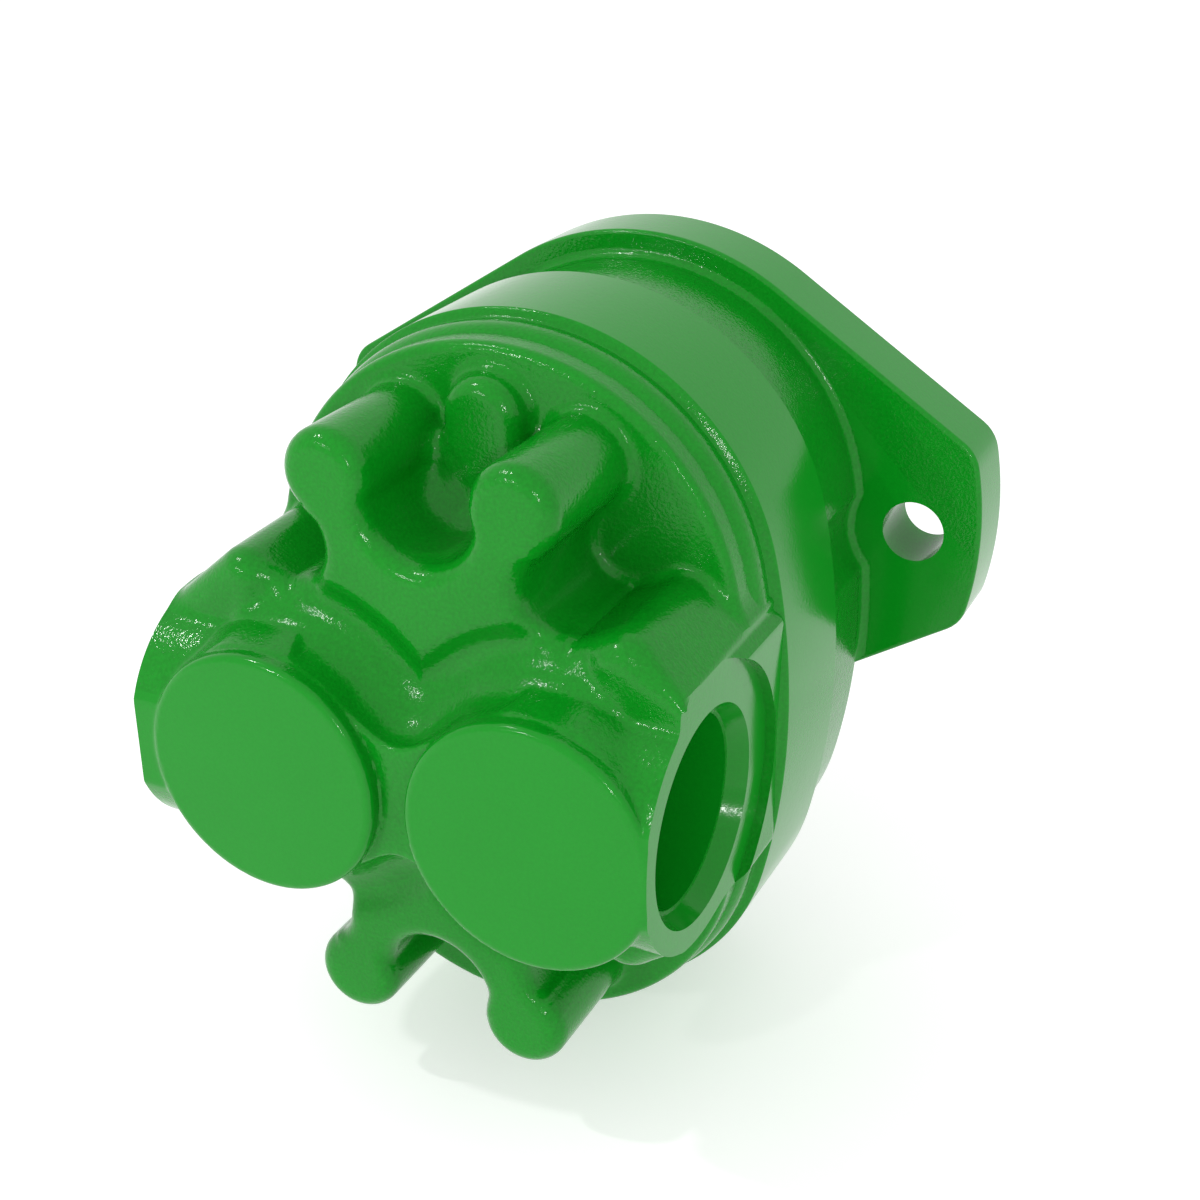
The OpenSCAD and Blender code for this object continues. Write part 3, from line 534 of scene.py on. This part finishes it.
neckPath, flangePath = neckArcs(cover), flangeArcs(cover)
flange = machine("flange_casting", sweepPath(neckPath, flareProfile(cover)),
                 [("INTERSECT", sweepPath(flangePath, flareLimit(cover))),
                  ("UNION", sweepPath(neckPath, neckProfile(cover))),
                  ("UNION", sweepPath(flangePath, plateProfile(cover))),
                  ("UNION", turned(spigotProfile(cover), (0, 0, 0), around=160))]
                 + [("DIFFERENCE", cut) for cut in coverCuts(cover)])

for piece, name in ((casting, "pump_body"), (flange, "front_cover")):
    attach(piece, "pump_case")
    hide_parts(name)


# Materials
class Wire:  # a shader socket that takes Python arithmetic; put makes any other node
    def __init__(self, tree, socket):
        self.tree, self.socket = tree, socket

    def put(self, kind, values, output=0, **settings):
        node = self.tree.nodes.new(kind)
        for key, value in settings.items():
            setattr(node, key, value)
        for key, value in values.items():
            if isinstance(value, Wire):
                self.tree.links.new(value.socket, node.inputs[key])
            else:
                node.inputs[key].default_value = value
        return Wire(self.tree, node.outputs[output])

    def math(self, operation, a, b):
        return self.put("ShaderNodeMath", {0: a, 1: b}, operation=operation)

    def __add__(self, other): return self.math("ADD", self, other)
    def __radd__(self, other): return self.math("ADD", other, self)
    def __mul__(self, other): return self.math("MULTIPLY", self, other)
    def __rmul__(self, other): return self.math("MULTIPLY", other, self)

    def noise(self, scale, detail=3.0, roughness=0.5):
        return self.put("ShaderNodeTexNoise", {"Vector": self, "Scale": scale, "Detail": detail,
                                               "Roughness": roughness})

    def between(self, low, high):  # 0 below low, 1 above high
        return self.put("ShaderNodeMapRange", {0: self, 1: low, 2: high, 3: 0.0, 4: 1.0})

    def blend(self, first, second):
        colours = {0: self, 6: (*first, 1), 7: (*second, 1)}
        return self.put("ShaderNodeMix", colours, 2, data_type="RGBA")

    def bump(self, depth, strength=1.0):
        return self.put("ShaderNodeBump", {"Strength": strength, "Distance": depth, "Height": self})

    def feed(self, shader, name):
        self.tree.links.new(self.socket, shader.inputs[name])


def newMaterial(name, **fixed):  # fixed values go straight to the shader's own sockets
    material = bpy.data.materials.new(name)
    material.use_nodes = True
    tree = material.node_tree
    shader = tree.nodes["Principled BSDF"]
    for key, value in fixed.items():
        shader.inputs[key.replace("_", " ")].default_value = value
    place = Wire(tree, tree.nodes.new("ShaderNodeTexCoord").outputs["Object"])
    return material, shader, place


paints = dict(
    cast=dict(base=(0.0022, 0.262, 0.0100), deep=(0.0016, 0.205, 0.0075), roughness=0.14,
              shine=0.26, depth=0.00007),
    machined=dict(base=(0.0025, 0.262, 0.0105), deep=(0.0022, 0.240, 0.0095), roughness=0.14,
                  shine=0.27, depth=0.00002))
grain = dict(cloudScale=60.0, pitScale=1700.0, waveScale=420.0, waveShare=0.5,
             cloudTint=0.3, pitTint=0.7, tintRange=(0.32, 0.68), cloudGloss=0.06)


def enamel(name, v):  # glossy paint over a fine casting grain, with a slower waviness
    material, shader, place = newMaterial(name, IOR=1.5, Specular_IOR_Level=v["shine"])
    g = grain
    cloud = place.noise(g["cloudScale"], 3.0)
    pits = place.noise(g["pitScale"], 2.0)
    tint = (cloud * g["cloudTint"] + pits * g["pitTint"]).between(*g["tintRange"])
    tint.blend(v["base"], v["deep"]).feed(shader, "Base Color")
    (cloud * g["cloudGloss"] + (v["roughness"] - g["cloudGloss"] / 2)).feed(shader, "Roughness")
    height = pits + place.noise(g["waveScale"], 2.0) * g["waveShare"]
    height.bump(v["depth"]).feed(shader, "Normal")
    return material


metals = dict(
    ground_steel=dict(base=(0.62, 0.62, 0.64), deep=(0.50, 0.50, 0.52), roughness=0.22,
                      depth=0.000006),
    dark_steel=dict(base=(0.13, 0.13, 0.14), deep=(0.08, 0.08, 0.085), roughness=0.38,
                    depth=0.00001),
    bearing_bronze=dict(base=(0.62, 0.43, 0.20), deep=(0.48, 0.31, 0.13), roughness=0.30,
                        depth=0.000008))
turning = dict(stretch=(0.12, 1.0, 0.12), lineScale=5200.0, lineGloss=0.16, cloudScale=90.0,
               cloudRange=(0.35, 0.75), cloudGloss=0.1, glossDrop=0.12)


def metal(name, v):  # turning marks run round the pump's axis, so they are stretched across it
    material, shader, place = newMaterial(name, Metallic=1.0)
    t = turning
    stretched = place.put("ShaderNodeMapping", {"Vector": place, "Scale": t["stretch"]})
    lines = stretched.noise(t["lineScale"], 3.0, 0.6)
    cloud = place.noise(t["cloudScale"], 4.0)
    cloud.between(*t["cloudRange"]).blend(v["base"], v["deep"]).feed(shader, "Base Color")
    gloss = lines * t["lineGloss"] + cloud * t["cloudGloss"] + (v["roughness"] - t["glossDrop"])
    gloss.feed(shader, "Roughness")
    lines.bump(v["depth"], 0.8).feed(shader, "Normal")
    return material


softs = dict(
    seal_rubber=dict(base=(0.028, 0.028, 0.029), deep=(0.014, 0.014, 0.015), roughness=0.62,
                     depth=0.00004),
    white_plastic=dict(base=(0.80, 0.78, 0.72), deep=(0.70, 0.67, 0.60), roughness=0.42,
                       depth=0.00001))
mould = dict(cloudScale=400.0, grainScale=2500.0, cloudGloss=0.15, glossDrop=0.07)


def moulded(name, v):  # a slow cloud in colour and gloss over the fine grain of a mould
    material, shader, place = newMaterial(name)
    cloud = place.noise(mould["cloudScale"], 4.0)
    cloud.blend(v["base"], v["deep"]).feed(shader, "Base Color")
    gloss = cloud * mould["cloudGloss"] + (v["roughness"] - mould["glossDrop"])
    gloss.feed(shader, "Roughness")
    place.noise(mould["grainScale"], 3.0).bump(v["depth"], 0.6).feed(shader, "Normal")
    return material


castEnamel = enamel("cast_enamel", paints["cast"])
machinedEnamel = enamel("machined_enamel", paints["machined"])


def paintCasting(piece, machined):  # machined(points, normals) says which faces a tool has cut
    mesh = piece.data
    mesh.materials.clear()
    mesh.materials.append(castEnamel)
    mesh.materials.append(machinedEnamel)
    n = len(mesh.polygons)
    centre, normal = np.zeros(n * 3), np.zeros(n * 3)
    mesh.polygons.foreach_get("center", centre)
    mesh.polygons.foreach_get("normal", normal)
    chosen = machined(centre.reshape(-1, 3) / mm, normal.reshape(-1, 3))
    mesh.polygons.foreach_set("material_index", chosen.astype(np.int32))
    mesh.update()


# What tells machined faces from cast ones: places in millimetres and parts of a face's normal
chosenBy = dict(slack=0.1, mouthFrom=0.3, mouthTo=27, mouthTurn=0.1, square=0.97, plateFrom=0.5)


def turnedFaces(p, n):  # port mouths and faces, discs and the band's wall
    c = chosenBy
    radius = np.hypot(p[:, 1] - rear["portY"], p[:, 2] - rear["portZ"])
    depth = np.where(p[:, 0] > 0, rear["outletX"], rear["inletX"]) - np.abs(p[:, 0])
    wrapped = np.abs(n[:, 1]) + np.abs(n[:, 2]) > c["mouthTurn"]
    mouth = wrapped & (radius < port["mouthR"] + c["slack"])
    mouth = mouth & (depth < c["mouthTo"]) & (depth > c["mouthFrom"])
    face = (np.abs(n[:, 0]) > c["square"]) & (depth < port["spotH"] + c["slack"])
    disc = p[:, 1] < rear["discY"] + rear["discEdge"]
    wall = (p[:, 1] > rear["bandY"] - c["slack"]) & (ovalGap(p[:, 0], p[:, 2]) > -c["slack"])
    return mouth | face | disc | wall


def flangeFaces(p, n):  # the flange's edge and front, the spigot and the two holes
    fromHole = np.hypot(np.abs(p[:, 0]) - cover["holeX"], p[:, 2])
    plate = p[:, 1] > cover["flangeY"] + chosenBy["plateFrom"]
    return plate | (fromHole < cover["holeR"] + chosenBy["slack"])


paintCasting(casting, turnedFaces)
paintCasting(flange, flangeFaces)
finishes = dict(green_casting=castEnamel)
finishes.update({name: metal(name, values) for name, values in metals.items()})
finishes.update({name: moulded(name, values) for name, values in softs.items()})
for part in frame["record"]["subparts"]:
    node = frame["nodes"][part["node"]]
    for slot in node.material_slots:
        slot.material = finishes[part["material_slot"]]
print("materials made")

# Floor, sky and lamps, in metres and watts
stage = dict(floorZ=-0.0895, size=8.0, floor=0.84, glow=0.22, shownGlow=0.38, sky=0.86)
lamps = dict(aim=(0, -0.07, 0), distance=1.0, size=0.035)
lampPlaces = dict(upper_lamp=((-0.52, -0.36, 0.775), 1.7),  # towards, power
                  right_lamp=((0.46, -0.83, 0.30), 1.4),
                  left_lamp=((-0.38, -0.86, 0.33), 1.2))


# 1 for rays of the camera, of reflections and of glass, which all see the white background
def shownRays(tree):
    rays = tree.nodes.new("ShaderNodeLightPath").outputs
    kinds = ("Camera", "Glossy", "Transmission")
    seen, mirrored, passed = (Wire(tree, rays[f"Is {kind} Ray"]) for kind in kinds)
    return seen + mirrored + passed


def makeFloor(v):
    s, z = v["size"] / 2, v["floorZ"]
    mesh = bpy.data.meshes.new("floor")
    mesh.from_pydata([(-s, -s, z), (s, -s, z), (s, s, z), (-s, s, z)], [], [(0, 1, 2, 3)])
    floor = addObject("floor", mesh)
    colour = (v["floor"],) * 3 + (1,)
    material, shader, place = newMaterial("floor_paper", Base_Color=colour, Roughness=0.95,
                                          Specular_IOR_Level=0.0, Emission_Strength=1.0)
    tone = shownRays(place.tree) * (v["shownGlow"] - v["glow"]) + v["glow"]
    tone.blend((0, 0, 0), (1, 1, 1)).feed(shader, "Emission Color")
    mesh.materials.append(material)


def makeSky(v):
    world = bpy.data.worlds.new("sky")
    world.use_nodes = True
    tree = world.node_tree
    background = tree.nodes["Background"]
    background.inputs["Color"].default_value = (1, 1, 1, 1)
    (shownRays(tree) * (1 - v["sky"]) + v["sky"]).feed(background, "Strength")
    scene.world = world


def makeLamp(name, v, towards, power):
    aim = Vector(v["aim"])
    lamp = addObject(name, bpy.data.lights.new(name, "AREA"))
    lamp.data.size = v["size"]
    lamp.data.energy = power
    lamp.location = aim + v["distance"] * Vector(towards).normalized()
    lamp.rotation_euler = (aim - lamp.location).to_track_quat("-Z", "Y").to_euler()


makeFloor(stage)
makeSky(stage)
for name, (towards, power) in lampPlaces.items():
    makeLamp(name, lamps, towards, power)
scene.view_settings.view_transform = "Standard"
print("stage made")
